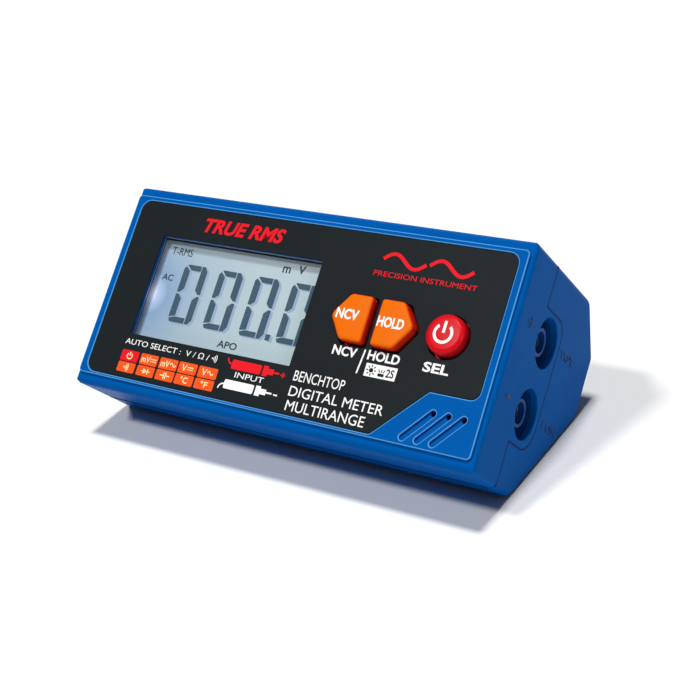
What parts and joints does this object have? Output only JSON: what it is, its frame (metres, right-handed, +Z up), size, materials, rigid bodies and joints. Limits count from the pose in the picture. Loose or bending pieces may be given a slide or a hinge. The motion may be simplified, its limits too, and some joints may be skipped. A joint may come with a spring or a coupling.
{
  "type": "bench multimeter",
  "caption": "Bench multimeter: blue wedge-shaped two-shell case with a sloping panel, segment display, orange and red push keys, sound slots and shrouded 4 mm jacks in its right end.",
  "frame": {"origin": "centre of the footprint at the underside of the rubber feet", "axes": "+X along the case towards the jacks, +Y towards the back, +Z up; the sloping panel faces -Y and up"},
  "size_m": [0.1254, 0.0704, 0.0596],
  "materials": {
    "case_blue": "satin moulded plastic",
    "jack_blue": "satin moulded plastic",
    "film_black": "fine-grained printed film",
    "clear_window": "clear",
    "lcd_grey": "display glass",
    "white_plastic": "moulded",
    "diffuser": "light guide",
    "strip_pink": "matt",
    "board_green": "solder mask",
    "key_orange": "satin moulded plastic",
    "key_red": "satin moulded plastic",
    "dark_plastic": "moulded",
    "brass": "plated",
    "steel": "zinc plated",
    "amber_ceramic": "dipped",
    "resistor_blue": "lacquered",
    "capacitor_blue": "sleeved",
    "cell_jacket": "printed jacket",
    "lead_red": "insulation",
    "lead_black": "insulation",
    "rubber": "matt"
  },
  "bodies": {
    "case": {"front_casing": "case_blue", "rear_casing": "case_blue", "front_overlay": "film_black", "display_window": "clear_window", "lcd_glass": "lcd_grey", "lcd_frame": "white_plastic", "backlight_panel": "diffuser", "contact_strips": "strip_pink", "main_board": "board_green", "tact_switches": "dark_plastic", "positive_jack_shroud": "jack_blue", "common_jack_shroud": "jack_blue", "positive_jack_sleeve": "brass", "common_jack_sleeve": "brass", "jack_nuts": "brass", "jack_board": "board_green", "board_link": "dark_plastic", "buzzer": "dark_plastic", "meter_chip": "dark_plastic", "crystal": "steel", "ptc_thermistor": "amber_ceramic", "input_resistors": "resistor_blue", "filter_capacitor": "capacitor_blue", "ncv_antenna": "brass", "battery_1": "cell_jacket", "battery_2": "cell_jacket", "battery_spring": "steel", "battery_plate": "steel", "battery_lead_red": "lead_red", "battery_lead_black": "lead_black", "case_screws": "steel", "board_screws": "steel", "rubber_feet": "rubber"},
    "ncv_key": {"ncv_key": "key_orange", "ncv_plunger": "dark_plastic"},
    "hold_key": {"hold_key": "key_orange", "hold_plunger": "dark_plastic"},
    "select_key": {"select_key": "key_red", "select_plunger": "dark_plastic"},
    "battery_cover": {"battery_cover": "case_blue", "battery_cover_screw": "steel"}
  },
  "joints": [
    {"name": "ncv_key_press", "type": "slide", "parent": "case", "child": "ncv_key", "axis": [0, 0.7071, -0.7071], "range_m": [0, 0.0005], "stiffness_N_per_m": 400},
    {"name": "hold_key_press", "type": "slide", "parent": "case", "child": "hold_key", "axis": [0, 0.7071, -0.7071], "range_m": [0, 0.0005], "stiffness_N_per_m": 400},
    {"name": "select_key_press", "type": "slide", "parent": "case", "child": "select_key", "axis": [0, 0.7071, -0.7071], "range_m": [0, 0.0005], "stiffness_N_per_m": 400},
    {"name": "battery_cover_lift", "type": "slide", "parent": "case", "child": "battery_cover", "axis": [0, 1, 0], "range_m": [0, 0.03]}
  ]
}
